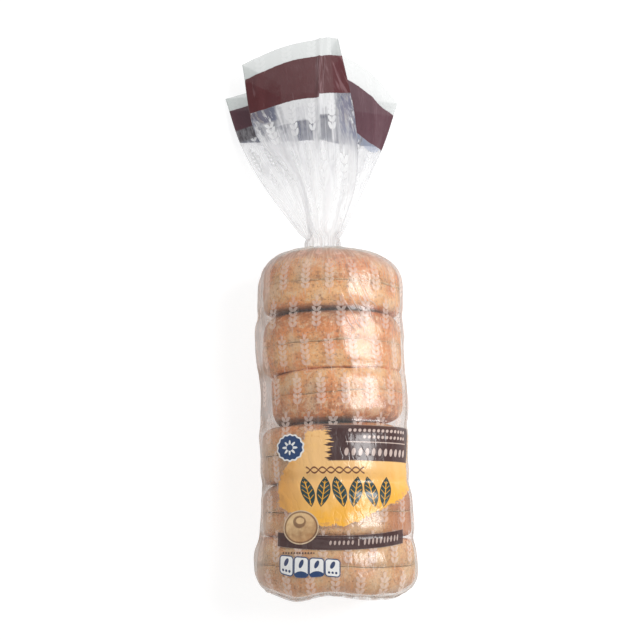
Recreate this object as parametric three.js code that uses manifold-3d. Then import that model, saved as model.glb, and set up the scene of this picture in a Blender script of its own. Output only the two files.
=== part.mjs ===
// A bag of six sliced bagels. The clear bag lies on its back with its printed front up. It hugs the
// row of bagels, is gathered to a neck past the last one, and fans out from there in folded flaps
// that droop towards the surface. Bag and bagels are one solid.
//
// Millimetres. +X is right, +Y runs from the closed end to the open mouth and +Z is up. The origin
// is on the surface, under the middle of the bag.
import * as THREE from "three";
import { mergeVertices } from "three/addons/utils/BufferGeometryUtils.js";
import Module from "manifold-3d";

const { lerp, smoothstep, clamp } = THREE.MathUtils;

// ---- The filled bag ------------------------------------------------------------------------
// Each bagel's stretch of the bag, from the closed end to the neck: its middle and its length along
// Y, how far the film reaches to the left and right, and how high it stands.
const BAGELS = [
  { middle: -189, length: 38, left: -41.5, right: 72.0, top: 101 },
  { middle: -150, length: 38, left: -37.6, right: 69.4, top: 95 },
  { middle: -110, length: 42, left: -38.6, right: 65.8, top: 94 },
  { middle: -70, length: 38, left: -37.8, right: 66.4, top: 91 },
  { middle: -30, length: 42, left: -42.4, right: 63.9, top: 91 },
  { middle: 13, length: 46, left: -40.6, right: 63.7, top: 93 },
];
const CLOSED_END = BAGELS[0].middle - BAGELS[0].length / 2;
const SINK = 1.5; // how far the soft row is pressed flat where it lies
const SQUARENESS = 2.25; // exponent of the filled bag's superelliptic section
const SEAM_DIP = 3.4; // how deep the film is drawn in between two bagels on top
const SIDE_DIP = 0.45; // share of that dip at the bag's sides
const SEAM_HALF_WIDTH = 5; // of that valley, along Y
const END_ROUNDING = 14; // length over which the closed end is rounded
const END_FLAT = 0.84; // share of the section that is flat at the closed end
const RING_SIDES = 56;

// ---- The gathered neck ---------------------------------------------------------------------
const SHOULDER_START = 12; // where the film begins to turn in over the last bagel
const CREST = 41; // the top of the last bagel's dome, where the film is drawn together
const NECK = { x: 6, z: 47, halfWidth: 12.5, halfHeight: 9.5, end: 55 };
const NECK_PLEATS = 8;
const PLEAT_DEPTH = 0.08; // share of the neck's radius

// ---- The closed end's heat seal ------------------------------------------------------------
const SEAL = { halfWidth: 46, x: 15, z: 44, reach: 5.4, root: 12, thickness: 1.8, wave: 2.2 };

// ---- The fan beyond the neck ---------------------------------------------------------------
// Each fold of the film, from inside the neck to the mouth.
const FOLDS = {
  frontLeft: [[-3, 46, 49], [-14, 92, 43], [-46, 137, 31], [-57.6, 195.6, 25]],
  frontCrown: [[1, 46, 52], [-6, 96, 48], [-18, 145, 43], [-24, 205.5, 37]],
  frontPleat: [[6, 46, 53], [7.6, 94, 51], [5.5, 150, 46], [6, 210.5, 42]],
  frontRight: [[16, 46, 49], [31, 95, 45], [31, 145, 40], [18, 213, 36]],
  innerRight: [[13, 46, 45], [20, 100, 36], [16, 150, 29], [12, 210, 22]],
  sideRight: [[15, 46, 44], [34, 95, 27], [45, 140, 21], [42, 193, 19]],
  backRight: [[17, 46, 43], [36.5, 92, 22], [54, 134, 10], [66.2, 171, 5]],
  backMiddle: [[6, 46, 40], [8, 92, 18], [4, 136, 5], [2, 181, 2.5]],
  backLeft: [[-5.5, 46, 43], [-36, 92, 23], [-58, 133, 11], [-72, 175.5, 3.5]],
  innerLeft: [[1, 46, 46], [-8, 94, 34], [-24, 140, 21], [-27, 184, 13]],
};
// The film between the folds: front, right side, back, and the tucked-in left side. grow is how
// far each flap's two edges are moved outwards, so that flaps that share a fold run into each other.
const FLAPS = [
  { folds: ["frontLeft", "frontCrown", "frontPleat", "frontRight"], grow: [0, 0] },
  { folds: ["innerRight", "sideRight", "backRight"], grow: [0, -0.6] },
  { folds: ["backLeft", "backMiddle", "backRight"], grow: [0, 0] },
  { folds: ["backLeft", "innerLeft"], grow: [-0.6, 0.6] },
  { folds: ["frontLeft", "innerLeft"], grow: [-0.6, 0] },
];
const FLAP_THICKNESS = 1.8;
const FLAP_COLUMNS = 12;
const FLAP_ROWS = 10;
const CUT_MARGIN = 300; // half the side of the block that trims the underside
const SMALLEST_DETAIL = 0.03; // slivers thinner than this are cleared from the joined solid

const point = (list) => new THREE.Vector3(...list);

/** A value that eases from bagel to bagel along the bag. */
function alongBag(y, key) {
  const last = BAGELS.length - 1;
  const next = BAGELS.findIndex((bagel) => bagel.middle > y);
  if (next === 0) return BAGELS[0][key];
  if (next < 0) return BAGELS[last][key];
  const [before, after] = [BAGELS[next - 1], BAGELS[next]];
  return lerp(before[key], after[key], smoothstep(y, before.middle, after.middle));
}

/** How far the film is drawn in at y, in the valleys between neighbouring bagels. */
function seamDip(y) {
  let dip = 0;
  for (const bagel of BAGELS.slice(0, -1)) {
    const seam = bagel.middle + bagel.length / 2;
    dip += Math.exp(-(((y - seam) / SEAM_HALF_WIDTH) ** 2));
  }
  return SEAM_DIP * Math.min(dip, 1);
}

/** The share of its full section that the bag keeps at y: 1 round the bagels, less at both ends. */
function sectionShare(y) {
  const intoEnd = clamp((CLOSED_END + END_ROUNDING - y) / END_ROUNDING, 0, 1);
  const closed = lerp(END_FLAT, 1, Math.sqrt(1 - intoEnd ** 2));
  const intoShoulder = clamp((y - SHOULDER_START) / (CREST - SHOULDER_START), 0, 1);
  return closed * (1 - intoShoulder ** 2.5) ** (1 / 2.2);
}

/** One closed ring of the filled bag at y, turned in towards the neck where the bag narrows. */
function bagRing(y) {
  const [left, right, top] = ["left", "right", "top"].map((key) => alongBag(y, key));
  const share = sectionShare(y);
  const dip = seamDip(y);
  const middle = new THREE.Vector2((left + right) / 2, top / 2);
  const halfWidth = (right - left) / 2;
  const target = y > 0 ? new THREE.Vector2(NECK.x, NECK.z) : middle;
  const ring = [];
  for (let i = 0; i < RING_SIDES; i++) {
    const angle = (2 * Math.PI * i) / RING_SIDES;
    const [cos, sin] = [Math.cos(angle), Math.sin(angle)];
    const power = 2 / SQUARENESS;
    const outX = Math.sign(cos) * Math.abs(cos) ** power;
    const outZ = Math.sign(sin) * Math.abs(sin) ** power;
    const drawnIn = dip * smoothstep(sin, -0.95, 0.3); // the film lies straight along the surface
    const full = new THREE.Vector2(
      middle.x + (halfWidth - SIDE_DIP * drawnIn) * outX,
      middle.y + (sin > 0 ? top / 2 - drawnIn : top / 2 + SINK) * outZ,
    );
    const gathered = new THREE.Vector2(
      NECK.x + NECK.halfWidth * cos * neckPleat(angle),
      NECK.z + NECK.halfHeight * sin * neckPleat(angle),
    );
    const turned = target.clone().lerp(full, share);
    const inward = y > SHOULDER_START ? 1 - share : 0;
    turned.lerp(gathered, inward ** 3);
    ring.push(new THREE.Vector3(turned.x, y, turned.y));
  }
  return ring;
}

/** The gathered film's in-and-out round the neck. */
function neckPleat(angle) {
  return 1 + PLEAT_DEPTH * Math.cos(NECK_PLEATS * angle);
}

/** One closed ring of the neck, which leaves the last bagel level and widens a little. */
function neckRing(y) {
  const widen = 1 + 0.12 * smoothstep(y, CREST, NECK.end);
  const ring = [];
  for (let i = 0; i < RING_SIDES; i++) {
    const angle = (2 * Math.PI * i) / RING_SIDES;
    const reach = widen * neckPleat(angle);
    ring.push(
      new THREE.Vector3(
        NECK.x + NECK.halfWidth * reach * Math.cos(angle),
        y,
        NECK.z + NECK.halfHeight * reach * Math.sin(angle),
      ),
    );
  }
  return ring;
}

/** Where the rings stand along the bag: close together at the ends and in the seams. */
function ringPlaces() {
  const places = [];
  for (const share of [0, 0.12, 0.35, 0.65, 1]) places.push(CLOSED_END + END_ROUNDING * share);
  for (const [i, { middle, length }] of BAGELS.entries()) {
    if (i > 0) for (const share of [-0.38, -0.2]) places.push(middle + share * length);
    places.push(middle);
    if (i === BAGELS.length - 1) break;
    for (const share of [0.2, 0.38, 0.5]) places.push(middle + share * length);
  }
  for (const share of [0.25, 0.45, 0.62, 0.76, 0.87, 0.95]) {
    places.push(lerp(SHOULDER_START, CREST, share));
  }
  return places;
}

/** A closed geometry through a row of rings with equal numbers of corners. */
function loft(rings) {
  const corners = rings[0].length;
  const positions = rings.flat().flatMap((corner) => corner.toArray());
  const triangles = [];
  for (let r = 0; r + 1 < rings.length; r++) {
    for (let i = 0; i < corners; i++) {
      const j = (i + 1) % corners;
      const [a, b] = [r * corners + i, r * corners + j];
      const [c, d] = [a + corners, b + corners];
      triangles.push(a, c, b, b, c, d);
    }
  }
  for (const [ring, row] of [[rings[0], 0], [rings.at(-1), rings.length - 1]]) {
    const centre = ring.reduce((sum, corner) => sum.add(corner), new THREE.Vector3());
    const hub = positions.length / 3;
    positions.push(...centre.divideScalar(corners).toArray());
    for (let i = 0; i < corners; i++) {
      const [a, b] = [row * corners + i, row * corners + ((i + 1) % corners)];
      if (row === 0) triangles.push(a, b, hub);
      else triangles.push(b, a, hub);
    }
  }
  return indexed(positions, triangles);
}

/** A closed plate of even thickness: surface(s, t) is its middle, for s and t from 0 to 1. */
function plate(surface, columns, rows, thickness) {
  const positions = [];
  for (const side of [1, -1]) {
    for (let r = 0; r <= rows; r++) {
      for (let c = 0; c <= columns; c++) {
        const p = surface(c / columns, r / rows);
        positions.push(p.x, p.y, p.z + (side * thickness) / 2);
      }
    }
  }
  const under = (rows + 1) * (columns + 1);
  const at = (c, r) => r * (columns + 1) + c;
  const triangles = [];
  const quad = (a, b, c, d) => triangles.push(a, b, c, a, c, d);
  for (let r = 0; r < rows; r++) {
    for (let c = 0; c < columns; c++) {
      const face = [at(c, r), at(c + 1, r), at(c + 1, r + 1), at(c, r + 1)];
      quad(...face);
      quad(...face.map((corner) => corner + under).reverse());
    }
  }
  const rim = [];
  for (let c = 0; c < columns; c++) rim.push(at(c, 0));
  for (let r = 0; r < rows; r++) rim.push(at(columns, r));
  for (let c = columns; c > 0; c--) rim.push(at(c, rows));
  for (let r = rows; r > 0; r--) rim.push(at(0, r));
  rim.forEach((a, i) => {
    const b = rim[(i + 1) % rim.length];
    quad(b, a, a + under, b + under);
  });
  return indexed(positions, triangles);
}

function indexed(positions, triangles) {
  const geometry = new THREE.BufferGeometry();
  geometry.setAttribute("position", new THREE.Float32BufferAttribute(positions, 3));
  geometry.setIndex(triangles);
  return geometry;
}

/** The closed end's heat seal, a short wavy strip across the end. */
function sealGeometry() {
  const surface = (s, t) => {
    const across = lerp(-SEAL.halfWidth, SEAL.halfWidth, s);
    const ripple = SEAL.wave * Math.sin(across / 9) * (1 - t);
    const taper = Math.sqrt(1 - (0.95 * across / SEAL.halfWidth) ** 4);
    const reach = SEAL.reach * taper * (0.85 + 0.15 * Math.sin(across / 13 - 1));
    return new THREE.Vector3(
      SEAL.x + across,
      lerp(CLOSED_END - reach, CLOSED_END + SEAL.root, t),
      SEAL.z + ripple,
    );
  };
  return plate(surface, 22, 3, SEAL.thickness);
}

/** A flap of the fan, a thin plate of film that runs across the folds it is given. */
function flapGeometry({ folds: names, grow }) {
  const folds = names.map((name) => new THREE.CatmullRomCurve3(FOLDS[name].map(point)));
  const surface = (s, t) => {
    const across = new THREE.CatmullRomCurve3(folds.map((fold) => fold.getPoint(t)));
    const place = across.getPoint(s);
    place.x += lerp(-grow[0], grow[1], s);
    place.z = Math.max(place.z, FLAP_THICKNESS / 2 + 0.4);
    return place;
  };
  return plate(surface, FLAP_COLUMNS, FLAP_ROWS, FLAP_THICKNESS);
}

// ---- Joining -------------------------------------------------------------------------------
const wasm = await Module();
wasm.setup();

function solid(geometry) {
  const made = new wasm.Manifold(
    new wasm.Mesh({
      numProp: 3,
      vertProperties: new Float32Array(geometry.attributes.position.array),
      triVerts: new Uint32Array(geometry.index.array),
    }),
  );
  return made;
}

function geometryOf(manifold) {
  const { vertProperties, triVerts } = manifold.getMesh();
  const geometry = indexed(vertProperties, [...triVerts]);
  geometry.computeVertexNormals();
  return geometry;
}

/** Everything under the surface, which trims the bag's underside flat. */
function underside() {
  const block = new THREE.BoxGeometry(2 * CUT_MARGIN, 2 * CUT_MARGIN, CUT_MARGIN);
  block.translate(0, 0, -CUT_MARGIN / 2);
  return block;
}

function bagGeometry() {
  const rings = ringPlaces().map(bagRing);
  for (const share of [0, 0.3, 0.65, 1]) rings.push(neckRing(lerp(CREST + 1, NECK.end, share)));
  let bag = solid(loft(rings)).add(solid(sealGeometry()));
  for (const flap of FLAPS) bag = bag.add(solid(flapGeometry(flap)));
  const cut = underside();
  cut.deleteAttribute("normal");
  cut.deleteAttribute("uv");
  const pieces = bag.subtract(solid(mergeVertices(cut))).simplify(SMALLEST_DETAIL).decompose();
  pieces.sort((a, b) => b.volume() - a.volume());
  return geometryOf(pieces[0]); // the outer skin, without the specks of air sealed in by the folds
}

const bag = new THREE.Mesh(
  bagGeometry(),
  new THREE.MeshStandardMaterial({ color: 0xd9ae82, roughness: 0.35, metalness: 0 }),
);
bag.name = "bag_of_bagels";

const part = new THREE.Group();
part.add(bag);

export default part;
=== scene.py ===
"""A clear printed bag of six sliced bagels, lying on its back with its printed front up.

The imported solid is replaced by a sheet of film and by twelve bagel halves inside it. Sizes are in
millimetres and are turned into metres where a mesh is written. +X is right, +Y runs from the
closed end to the open mouth and +Z is up.
"""

import logging
import math
from dataclasses import dataclass, field
from enum import Enum
from typing import Iterable, Mapping, Sequence, Union

import bmesh
import bpy
import numpy as np
from mathutils import Matrix, Vector, noise


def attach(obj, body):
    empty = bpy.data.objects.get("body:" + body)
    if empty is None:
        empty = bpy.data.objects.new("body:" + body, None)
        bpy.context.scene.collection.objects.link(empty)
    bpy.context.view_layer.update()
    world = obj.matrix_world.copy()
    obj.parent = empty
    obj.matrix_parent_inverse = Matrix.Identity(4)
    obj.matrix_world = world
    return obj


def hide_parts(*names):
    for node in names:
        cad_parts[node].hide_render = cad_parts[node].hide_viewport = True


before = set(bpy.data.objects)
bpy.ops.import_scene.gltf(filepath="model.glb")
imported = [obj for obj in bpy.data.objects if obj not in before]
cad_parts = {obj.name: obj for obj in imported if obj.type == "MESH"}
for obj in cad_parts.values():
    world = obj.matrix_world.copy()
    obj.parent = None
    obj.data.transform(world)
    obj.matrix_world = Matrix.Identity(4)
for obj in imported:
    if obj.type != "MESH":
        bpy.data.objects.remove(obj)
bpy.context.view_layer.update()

MM = 0.001
NODE = "bag_of_bagels"
LOG = logging.getLogger("bag")

Array = np.ndarray
Ink = tuple[int, int, int]  # a display colour, from 0 to 255
Value = Union["Num", float, Sequence[float]]  # what can go into a node's socket


def srgb(*display: float) -> tuple[float, ...]:
    """Turns an 8-bit display colour into the linear colour that a shader takes.

    Args:
        *display: Red, green and blue, from 0 to 255.

    Returns:
        The linear colour, with an alpha of 1.
    """
    shares = [value / 255 for value in display]
    linear = (s / 12.92 if s <= 0.04045 else ((s + 0.055) / 1.055) ** 2.4 for s in shares)
    return (*linear, 1.0)


def smooth(share: Array) -> Array:
    """Eases a share that runs from 0 to 1."""
    return share * share * (3 - 2 * share)


def ease(value: Array, low: float, high: float) -> Array:
    """Rises smoothly from 0 where the value is low to 1 where it is high."""
    return smooth(np.clip((np.asarray(value, dtype=float) - low) / (high - low), 0, 1))


class Ripples:
    """Smooth seeded noise over a plane, between -1 and 1."""

    SIZE = 64

    def __init__(self, seed: int) -> None:
        """Draws the noise's table from a seed."""
        self.table = np.random.default_rng(seed).uniform(-1, 1, (self.SIZE, self.SIZE))

    def __call__(self, across: Array, along: Array) -> Array:
        """Reads the noise.

        Args:
            across: Place along the first axis, in units of one bump.
            along: Place along the second axis, in units of one bump.

        Returns:
            The noise there.
        """
        across, along = np.broadcast_arrays(np.asarray(across, float), np.asarray(along, float))
        i, j = np.floor(across).astype(int), np.floor(along).astype(int)
        s, t = smooth(across - i), smooth(along - j)
        near, far = i % self.SIZE, (i + 1) % self.SIZE
        low, high = (
            self.table[near, row % self.SIZE] * (1 - s) + self.table[far, row % self.SIZE] * s
            for row in (j, j + 1)
        )
        return low * (1 - t) + high * t

    def ridges(self, across: Array, along: Array, width: float = 0.3) -> Array:
        """Raised folds of a width, from 0 to 1 high, with flatter ground between them."""
        return np.exp(-((self(across, along) / width) ** 2))


# ---- Node expressions ----------------------------------------------------------------------


class Graph:
    """One material's node tree, written as sums and products of values."""

    def __init__(self, name: str) -> None:
        """Starts an empty material.

        Args:
            name: The material's name.
        """
        self.material = bpy.data.materials.new(name)
        self.material.use_nodes = True
        self.tree = self.material.node_tree
        self.tree.nodes.clear()

    def feed(self, socket: bpy.types.NodeSocket, value: Value) -> None:
        """Puts a number, a colour or another node's output into a socket.

        Args:
            socket: The input to fill.
            value: What goes in. Three numbers are a display colour, from 0 to 255.
        """
        if isinstance(value, Num):
            self.tree.links.new(value.socket, socket)
        elif isinstance(value, tuple) and len(value) == 3:
            socket.default_value = srgb(*value)
        else:
            socket.default_value = value

    def node(
        self,
        kind: str,
        inputs: Sequence[Value] | Mapping[str | int, Value] = (),
        output: str | int = 0,
        **settings: object,
    ) -> "Num":
        """Adds a node.

        Args:
            kind: The node's type name without "ShaderNode".
            inputs: What goes into its sockets, in their order or by name or number.
            output: Which of its outputs is wanted.
            **settings: Values for its properties.

        Returns:
            That output.
        """
        made = self.tree.nodes.new("ShaderNode" + kind)
        for key, value in settings.items():
            setattr(made, key, value)
        for key, value in inputs.items() if isinstance(inputs, dict) else enumerate(inputs):
            self.feed(made.inputs[key], value)
        return Num(self, made.outputs[output])

    def finish(self, shader: "Num") -> bpy.types.Material:
        """Makes a shader the material's surface, and gives the material."""
        self.feed(self.tree.nodes.new("ShaderNodeOutputMaterial").inputs["Surface"], shader)
        return self.material

    def math(self, operation: str, *values: Value) -> "Num":
        """Adds a Math node with an operation and its inputs."""
        return self.node("Math", values, operation=operation)

    def step(self, value: Value, low: float, high: float) -> "Num":
        """A smooth step from 0 at low to 1 at high; low may be the larger one.

        Args:
            value: What is tested.
            low: Where it gives 0.
            high: Where it gives 1.

        Returns:
            The step.
        """
        flip = low > high
        inputs = {"Value": value, "From Min": min(low, high), "From Max": max(low, high)}
        inputs |= {"To Min": float(flip), "To Max": float(not flip)}
        return self.node("MapRange", inputs, interpolation_type="SMOOTHSTEP")

    def place(self, x: Value, y: Value, z: Value = 0.0) -> "Num":
        """Joins three numbers to a vector."""
        return self.node("CombineXYZ", (x, y, z))

    def across_and_along(self, where: "Num") -> tuple["Num", "Num"]:
        """The first two numbers of a place in metres, in millimetres."""
        x, y = (self.node("SeparateXYZ", (where,), axis) * (1 / MM) for axis in (0, 1))
        return x, y

    def noise(self, where: "Num", scale: float, detail: float = 2.0, rough: float = 0.5) -> "Num":
        """Adds a Noise texture.

        Args:
            where: The place it is read at.
            scale: Bumps per unit of that place.
            detail: How many finer layers it has.
            rough: How strong the finer layers are.

        Returns:
            The noise, about 0.5 on average.
        """
        inputs = {"Vector": where, "Scale": scale, "Detail": detail, "Roughness": rough}
        return self.node("TexNoise", inputs, "Fac")

    def cells(self, where: "Num") -> "Num":
        """Adds a Voronoi texture, with a random shade for each cell of one unit."""
        return self.node("TexVoronoi", {"Vector": where, "Scale": 1.0}, "Color")

    def mix(self, share: Value, first: Value, second: Value) -> "Num":
        """Blends two colours, by the share of the second."""
        return self.node("Mix", {"Factor": share, 6: first, 7: second}, 2, data_type="RGBA")

    def paint(self, colour: Value, *layers: tuple[Value, Value]) -> "Num":
        """Lays colours over one another.

        Args:
            colour: The lowest one.
            *layers: The share and the colour of each one over it.

        Returns:
            The blend.
        """
        for share, tone in layers:
            colour = self.mix(share, colour, tone)
        return colour

    def blend(self, share: Value, first: "Num", second: "Num") -> "Num":
        """Blends two shaders, by the share of the second."""
        return self.node("MixShader", (share, first, second))

    def principled(self, **inputs: Value) -> "Num":
        """Adds the surface shader, with _ for each space in a socket's name."""
        named = {key.replace("_", " "): value for key, value in inputs.items()}
        return self.node("BsdfPrincipled", named)

    def bump(self, height: Value, strength: float, distance: float) -> "Num":
        """Adds a Bump node, with the height in metres that a value of 1 stands for."""
        return self.node("Bump", {"Height": height, "Strength": strength, "Distance": distance})


@dataclass(frozen=True)
class Num:
    """A node's output, with arithmetic."""

    graph: Graph
    socket: bpy.types.NodeSocket

    def __add__(self, other: Value) -> "Num":
        """The sum."""
        return self.graph.math("ADD", self, other)

    __radd__ = __add__

    def __sub__(self, other: Value) -> "Num":
        """What is left when other is taken away."""
        return self.graph.math("SUBTRACT", self, other)

    def __rsub__(self, other: Value) -> "Num":
        """What is left when this is taken from other."""
        return self.graph.math("SUBTRACT", other, self)

    def __mul__(self, other: Value) -> "Num":
        """The product."""
        return self.graph.math("MULTIPLY", self, other)

    __rmul__ = __mul__

    def __truediv__(self, other: Value) -> "Num":
        """The quotient."""
        return self.graph.math("DIVIDE", self, other)

    def __pow__(self, other: Value) -> "Num":
        """This raised to a power."""
        return self.graph.math("POWER", self, other)

    def __abs__(self) -> "Num":
        """Its size without its sign."""
        return self.graph.math("ABSOLUTE", self)

    def least(self, other: Value) -> "Num":
        """The smaller of two numbers."""
        return self.graph.math("MINIMUM", self, other)

    def most(self, other: Value) -> "Num":
        """The larger of two numbers."""
        return self.graph.math("MAXIMUM", self, other)

    def repeat(self, pitch: float) -> "Num":
        """The distance into a repeat, from 0 to pitch."""
        return self.graph.math("FLOORED_MODULO", self, pitch)

    def floor(self) -> "Num":
        """The whole number below it."""
        return self.graph.math("FLOOR", self)

    def root(self) -> "Num":
        """Its square root."""
        return self.graph.math("SQRT", self)

    def cos(self) -> "Num":
        """Its cosine, in radians."""
        return self.graph.math("COSINE", self)


# ---- The bag's form ------------------------------------------------------------------------


@dataclass(frozen=True)
class Stretch:
    """One bagel's stretch of the bag: its middle and length along Y and the film's reach."""

    middle: float
    length: float
    left: float
    right: float
    top: float

    @property
    def reach(self) -> tuple[float, float, float]:
        """The film's left side, right side and top."""
        return self.left, self.right, self.top


@dataclass(frozen=True)
class BagForm:
    """The filled bag's section all along it, as in the part's source."""

    stretches: tuple[Stretch, ...] = (
        Stretch(-189, 38, -41.5, 72.0, 101),
        Stretch(-150, 38, -37.6, 69.4, 95),
        Stretch(-110, 42, -38.6, 65.8, 94),
        Stretch(-70, 38, -37.8, 66.4, 91),
        Stretch(-30, 42, -42.4, 63.9, 91),
        Stretch(13, 46, -40.6, 63.7, 93),
    )
    sink: float = 1.5
    squareness: float = 2.25
    seam_dip: float = 3.4
    side_dip: float = 0.45
    seam_half_width: float = 5.0
    end_rounding: float = 14.0
    end_flat: float = 0.84
    shoulder_start: float = 12.0
    shoulder_round: float = 2.5
    crest: float = 41.0
    crest_round: float = 2.2
    pleated: float = 0.19
    # The closed end's bulges: where each one is across the bag, and how far out it goes.
    bulges: tuple[tuple[float, float], ...] = (
        (-60, -2.6),
        (-33, -2.0),
        (-12, 2.8),
        (10, -0.9),
        (40, 1.2),
        (55, 1.2),
        (66, -1.6),
    )
    bulge_start: float = -178.0
    bulge_full: float = -206.0

    @property
    def closed_end(self) -> float:
        """Where the bag's closed end is, along Y."""
        return self.stretches[0].middle - self.stretches[0].length / 2

    @property
    def seams(self) -> list[float]:
        """Where two bagels meet, along Y."""
        return [stretch.middle + stretch.length / 2 for stretch in self.stretches[:-1]]

    def reach(self, y: float) -> tuple[float, ...]:
        """How far the film reaches at y.

        Args:
            y: The place along the bag.

        Returns:
            Its left side, its right side and its top.
        """
        y = min(max(y, self.stretches[0].middle), self.stretches[-1].middle)
        after = next(i for i, stretch in enumerate(self.stretches) if stretch.middle >= y)
        one, two = self.stretches[max(after - 1, 0)], self.stretches[max(after, 1)]
        share = float(ease(y, one.middle, two.middle))
        return tuple(a + (b - a) * share for a, b in zip(one.reach, two.reach))

    def dip(self, y: float) -> float:
        """How far the film is drawn in at y between two bagels."""
        total = sum(math.exp(-(((y - seam) / self.seam_half_width) ** 2)) for seam in self.seams)
        return self.seam_dip * min(total, 1)

    def share(self, y: float) -> float:
        """The share of its full section that the bag keeps at y.

        Args:
            y: The place along the bag.

        Returns:
            1 round the bagels, and less at both ends.
        """
        into_end = min(max((self.closed_end + self.end_rounding - y) / self.end_rounding, 0), 1)
        closed = self.end_flat + (1 - self.end_flat) * math.sqrt(1 - into_end**2)
        into = (y - self.shoulder_start) / (self.crest - self.shoulder_start)
        into = min(max(into, 0), 1)
        return closed * (1 - into**self.shoulder_round) ** (1 / self.crest_round)

    def inner(self, y: float) -> float:
        """The share of its full section that the deepest pleats keep at y.

        Args:
            y: The place along the bag.

        Returns:
            A little less than the bag's own share where the film is gathered.
        """
        share = self.share(y)
        if y <= self.shoulder_start:
            return share
        return share - max(share - self.pleated, 0) * (1 - share) ** 3

    def sag(self, x: Array, y: Array) -> Array:
        """How far the bag's closed end bulges at x, fading along the bag.

        Args:
            x: The place across the bag.
            y: The place along the bag.

        Returns:
            The shift along Y.
        """
        places, depths = np.array(self.bulges).T
        x = np.clip(x, places[0], places[-1])
        i = np.clip(np.searchsorted(places, x) - 1, 0, len(places) - 2)
        share = ease((x - places[i]) / (places[i + 1] - places[i]), 0, 1)
        bulge = depths[i] + (depths[i + 1] - depths[i]) * share
        return -bulge * ease(-np.asarray(y), -self.bulge_start, -self.bulge_full)

    def outside(self, place: Vector, gap: float) -> tuple[float, Vector]:
        """How far out a place is in the bag's section.

        Args:
            place: A place, in millimetres.
            gap: The distance to leave to the film.

        Returns:
            1 at the gap from the film and less inside, and the section's middle.
        """
        left, right, top = self.reach(place.y)
        share, drawn = self.inner(place.y), self.dip(place.y)
        middle = Vector(((left + right) / 2, 0, top / 2))
        if place.y > self.shoulder_start:
            middle = middle.lerp(Vector((Neck.x, 0, Neck.z)), 1 - share)
        wide = ((right - left) / 2 - self.side_dip * drawn) * share - gap
        high = (top / 2 - drawn) * share - gap
        across, up = abs(place.x - middle.x) / wide, abs(place.z - middle.z) / high
        return (across**self.squareness + up**self.squareness) ** (1 / self.squareness), middle

    def hold(self, place: Vector, gap: float) -> Vector:
        """Keeps a place in the bag clear of the film.

        Args:
            place: A place, in millimetres.
            gap: The smallest distance to leave.

        Returns:
            The place, moved in towards the middle where it was too near.
        """
        place = place.copy()
        for _ in range(4):
            out, middle = self.outside(place, gap)
            if out <= 1 or place.y <= self.shoulder_start:
                break
            place.y -= 6 * (out - 1)
        scale = min(1 / max(out, 1e-6), 1)
        middle.y = place.y
        return middle + (place - middle) * scale


@dataclass(frozen=True)
class Neck:
    """The gathered film past the last bagel."""

    x: float = 6.0
    z: float = 47.0
    half_width: float = 12.5
    half_height: float = 9.5
    pleats: float = 21.0
    depth: float = 0.12

    def pleat(self, q: Array) -> Array:
        """The gathered film's in-and-out, from -1 to 1.

        Args:
            q: Places round the film, from 0 to 1.

        Returns:
            The pleats.
        """
        turn = 2 * np.pi * q
        wander = 0.9 * np.sin(3 * turn + 1) + 0.6 * np.sin(5 * turn + 2.2)
        return np.sin(self.pleats * turn + wander) * (0.72 + 0.28 * np.sin(7 * turn + 0.7))

    def ring(self, q: Array, y: float) -> Array:
        """One ring of the neck.

        Args:
            q: Places round the film.
            y: The place along the bag.

        Returns:
            One point for each place.
        """
        turn = 2 * np.pi * (q - 0.25)
        reach = 1 + self.depth * self.pleat(q)
        x = self.x + self.half_width * reach * np.cos(turn)
        z = self.z + self.half_height * reach * np.sin(turn)
        return np.stack([x, np.full_like(x, y), z], axis=-1)


@dataclass(frozen=True)
class Seal:
    """The closed end's heat seal, with a short fin of film past it."""

    x: float = 15.0
    z: float = 44.0
    half_width: float = 46.0
    reach: float = 3.2
    wave: float = 2.2
    half_gap: float = 0.35
    past_end: float = 1.2
    fold: float = 45.0

    def line(self, q: Array) -> Array:
        """How far across the seal the film meets it, from +1 at the right to -1 at the left."""
        return np.where((q >= 0.25) & (q <= 0.75), 1 - (q - 0.25) * 4, -1 + ((q + 0.25) % 1) * 4)

    def meeting(self, q: Array, closed_end: float) -> Array:
        """The row where the film meets the seal.

        Args:
            q: Places round the film.
            closed_end: Where the bag's closed end is.

        Returns:
            One point for each place.
        """
        across = self.line(q) * self.half_width
        layer = np.where((q >= 0.25) & (q <= 0.75), self.half_gap, -self.half_gap)
        y = np.full_like(across, closed_end - self.past_end)
        z = self.z + self.wave * np.sin(across / 9) + layer
        return np.stack([self.x + across, y, z], axis=-1)

    def fin(self, q: Array) -> Array:
        """How far the fin stands out of the seal, less at its corners.

        Args:
            q: Places round the film.

        Returns:
            The distance for each place.
        """
        line = self.line(q)
        taper = np.sqrt(np.maximum(1 - (0.95 * line) ** 4, 0))
        return self.reach * taper * (0.85 + 0.15 * np.sin(line * self.half_width / 13 - 1))


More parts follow.
